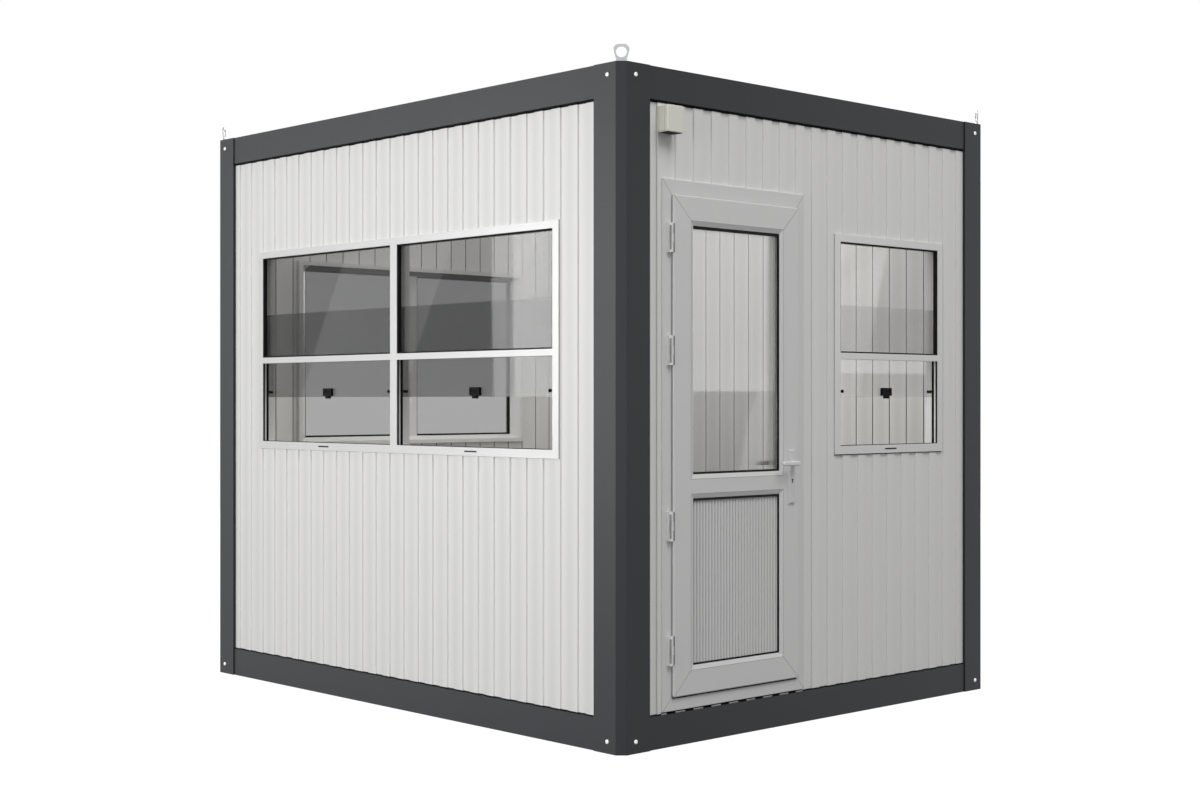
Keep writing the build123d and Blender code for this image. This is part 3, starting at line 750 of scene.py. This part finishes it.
frame_low, frame_high = on_wall("front", "door_frame")
frame_jamb = 0.060
frame_head = 0.070
frame_sill = 0.065
shape = bmesh.new()
for along, side in ((frame_low.x, 1), (frame_high.x, -1)):
    for level, rise in ((frame_low.z, frame_sill), (frame_high.z, -frame_head)):
        mitre_joint(shape, (along, level), (along + side * frame_jamb, level + rise), frame_low.y)
add_piece("door_frame_joints", shape, wall_places["front"], joint_shade, "cabin")
# Black foam along the door frame's foot, in the rib valleys and at the frame's lower edge: painted shade
# under the proud frame
threshold_level = 0.125
threshold_margin = 0.001
threshold_shade_lip = [(0.0050, 0.0128), (0.0098, 0.0128), (0.0098, 0.0165), (0.0050, 0.0165)]
threshold_shade_seal = [(0.0002, 0.0165), (0.0098, 0.0165), (0.0098, 0.0198), (0.0002, 0.0198)]
shape = bmesh.new()
for section in (threshold_shade_seal, threshold_shade_lip):
    straight_seal(shape, section, frame_low.x + threshold_margin, frame_high.x - threshold_margin,
                  upright=False, edge=threshold_level)
add_piece("door_threshold_shade_foam", shape, wall_places["front"], black_foam_and_shade, "cabin")

# The packers' grey white, darker than the hinges', is painted shade on the hinge flags' sides that face the
# lamp
shaded_packer_plastic = coat("shaded_white_packer_plastic", (0.75, 0.75, 0.745), 0.5)
hinge_levels = (0.366, 0.838, 1.506, 1.934)
# The jamb and leaf liners are dark strips that are painted shade in the gaps beside the hinge barrels
# Corners (along, depth) of each strip beside a hinge, and its reach up and down from the hinge's middle
jamb_shade_liner = ((0.2474, -0.0155), (0.2488, -0.0066), 0.046)
side_shade_packer = ((0.2457, -0.0070), (0.2466, 0.0058), 0.0562)
leaf_shade_liner = ((0.2690, -0.0069), (0.2740, -0.0020), 0.055)


def hinge_strips(name, strip, material, body):
    """One strip beside each hinge, joined into a piece."""
    shape = bmesh.new()
    near, far, reach = strip
    for level in hinge_levels:
        flat_bar(shape, (*near, level - reach), (*far, level + reach))
    add_piece(name, shape, wall_places["front"], material, body)


hinge_strips("hinge_jamb_shade_liners", jamb_shade_liner, joint_shade, "cabin")
hinge_strips("hinge_side_shade_packers", side_shade_packer, shaded_packer_plastic, "cabin")
hinge_strips("hinge_leaf_shade_liners", leaf_shade_liner, seal_rubber_and_shade, "door_leaf")


# Door leaf
# White plastic sash, welded at its mitres, glazed above the mid rail and filled with fluted boards
# below it; black seals hold both infills behind bevelled beads and line the back of the flange.
sash_low, sash_high = on_wall("front", "door_sash")
stile_face = 0.095
bead_face = 0.017
mid_rail = (0.940, 1.032)
bead_fall = 0.007
glazing_fall = 0.017
lip_sunk = 0.0006
hidden_lip_sunk = 0.0050
lip_fall = 0.0024
lip_flat_share = 0.7
seal_tuck = 0.0004
glazing_gap = 0.0001
drip_margin = 0.005
glass_reaches = {"left": 0.0025, "right": 0.0025, "foot": 0.0080, "head": 0.0115}
board_reaches = {"left": 0.0025, "right": 0.0015, "foot": 0.0060, "head": 0.0095}
# The drip seal under the leaf's foot is partly a real seal and partly painted shade below the leaf's bottom
# edge
drip_seal_and_shade = [(-0.0060, 0.0016), (0.0040, 0.0012), (0.0040, 0.0054), (-0.0060, 0.0050)]
flange_seal = [(0.0028, 0.0008), (0.0105, 0.0008), (0.0105, 0.0050), (0.0090, 0.0056), (0.0028, 0.0056)]
bead_depth = sash_low.y + bead_fall
seat_depth = sash_low.y + glazing_fall - glazing_gap
opening = (sash_low.x + stile_face + bead_face, sash_high.x - stile_face - bead_face)
opening_foot = sash_low.z + stile_face + bead_face
opening_head = sash_high.z - stile_face - bead_face
board_plastic = coat("white_board_plastic", (0.76, 0.76, 0.756), 0.42, drift=0.01, drift_size=0.5,
                     grain_size=0.003, grain_height=0.0001, specular_ior_level=0.35)
# The boards take painted shade in the flutes' hollows, halfway between their crests
flute_pitch = 0.017
flute_start = 0.0066
flute_shade_share = 0.19
flute_crest = wall_places["front"] @ Vector((opening[0] + flute_start, 0, 0))
flute_crest = nodes["door_fluted_panel"].matrix_world.inverted() @ flute_crest
paint_band_shade(board_plastic, 0, flute_crest.x, flute_pitch, flute_shade_share)
finish_nodes(board_plastic, "door_fluted_panel")


def infill_seals(shape, foot, head, reaches):
    """Seals along the four edges of an infill, each reaching its own way in from the bead."""
    first, last = opening
    for edge, upright, side, at in (("left", True, 1, first), ("right", True, -1, last),
                                    ("foot", False, 1, foot), ("head", False, -1, head)):
        reach = reaches[edge]
        lip = bead_depth + (hidden_lip_sunk if edge == "left" else lip_sunk)
        section = [(-seal_tuck, lip), (reach * lip_flat_share, lip), (reach, lip + lip_fall),
                   (reach, seat_depth), (-seal_tuck, seat_depth)]
        ends = (foot, head) if upright else (first, last)
        straight_seal(shape, section, *ends, upright=upright, side=side, edge=at)


shape = bmesh.new()
infill_seals(shape, mid_rail[1], opening_head, glass_reaches)
infill_seals(shape, opening_foot, mid_rail[0], board_reaches)
seal_ring(shape, sash_low.x, sash_high.x, sash_low.z, sash_high.z, flange_seal)
straight_seal(shape, drip_seal_and_shade, sash_low.x + drip_margin, sash_high.x - drip_margin, upright=False,
              edge=sash_low.z)
add_piece("door_leaf_seals", shape, wall_places["front"], seal_rubber_and_shade, "door_leaf")
shape = bmesh.new()
for along, side in ((sash_low.x, 1), (sash_high.x, -1)):
    for level, rise in ((sash_low.z, 1), (sash_high.z, -1)):
        inner_corner = (along + side * stile_face, level + rise * stile_face)
        mitre_joint(shape, (along, level), inner_corner, sash_low.y)
joint_out = sash_low.y - joint_proud
joint_in = sash_low.y + joint_sunk
bead_joint = [(-0.0017, joint_out), (-0.0002, joint_out), (-0.0002, joint_in), (-0.0017, joint_in)]
mouth = (opening[0] - bead_face, opening[1] + bead_face)
seal_ring(shape, *mouth, mid_rail[1] - bead_face, opening_head + bead_face, bead_joint)
seal_ring(shape, *mouth, opening_foot - bead_face, mid_rail[0] + bead_face, bead_joint)
add_piece("door_leaf_joints", shape, wall_places["front"], joint_shade, "door_leaf")


# Door handle
# Lever handles on long plates, cast and coated white, on a square spindle through the leaf; the lock
# below them takes a profile key.
lever_coat = coat("white_lever_coating", (0.74, 0.74, 0.74), 0.36, drift=0.02, drift_size=0.05)
# The plates take a darker copy of the lever's white: painted shade that keeps their lit faces from standing
# out against the stile
shaded_plate_coat = coat("shaded_white_plate_coating", (0.66, 0.66, 0.66), 0.46, drift=0.02, drift_size=0.05)
finish_nodes(lever_coat, "lever_handle")
finish_nodes(shaded_plate_coat, "handle_plates")
plate_low, plate_high = on_wall("front", "handle_plates")
key_level = 0.9945
key_radius = 0.0045
key_slot_width = 0.0044
key_slot_foot = 0.0125
key_steps = 14
key_proud = 0.0003
key_sunk = 0.0010
key_depths = (plate_low.y - key_proud, plate_low.y + key_sunk)
key_middle = (plate_low.x + plate_high.x) / 2
gap = math.asin(key_slot_width / 2 / key_radius)
outline = []
for step in range(key_steps + 1):
    turn = -math.pi / 2 + gap + (2 * math.pi - 2 * gap) * step / key_steps
    outline.append((key_middle + key_radius * math.cos(turn), key_level + key_radius * math.sin(turn)))
for side in (-1, 1):
    outline.append((key_middle + side * key_slot_width / 2, key_level - key_slot_foot))
shape = bmesh.new()
plate(shape, outline, key_depths)
add_piece("door_keyhole", shape, wall_places["front"], seal_rubber_and_shade, "door_leaf")


# Junction box
# A moulded cable box with a push-on lid, in cream plastic, screwed to the panel under the top rail, and
# closed below by a black rubber sheet that the cables are pushed through, which also stands as painted
# shade along the box's underside.
box_plastic = coat("cream_box_plastic", (0.80, 0.80, 0.70), 0.45, drift=0.02, drift_size=0.05,
                   grain_size=0.0015, grain_height=0.0001)
finish_nodes(box_plastic, "junction_box")
box_low, box_high = on_wall("front", "junction_box")
# The black sheet under the box is painted shade along its underside as well as a cable entry
entry_shade_margin = 0.004
entry_shade_proud = 0.0010
entry_shade_tuck = 0.0002
shape = bmesh.new()
flat_bar(shape, (box_low.x + entry_shade_margin, box_low.y + entry_shade_margin, box_low.z - entry_shade_proud),
         (box_high.x - entry_shade_margin, box_high.y - entry_shade_margin, box_low.z + entry_shade_tuck))
add_piece("box_cable_entry_shade", shape, wall_places["front"], seal_rubber_and_shade, "cabin")
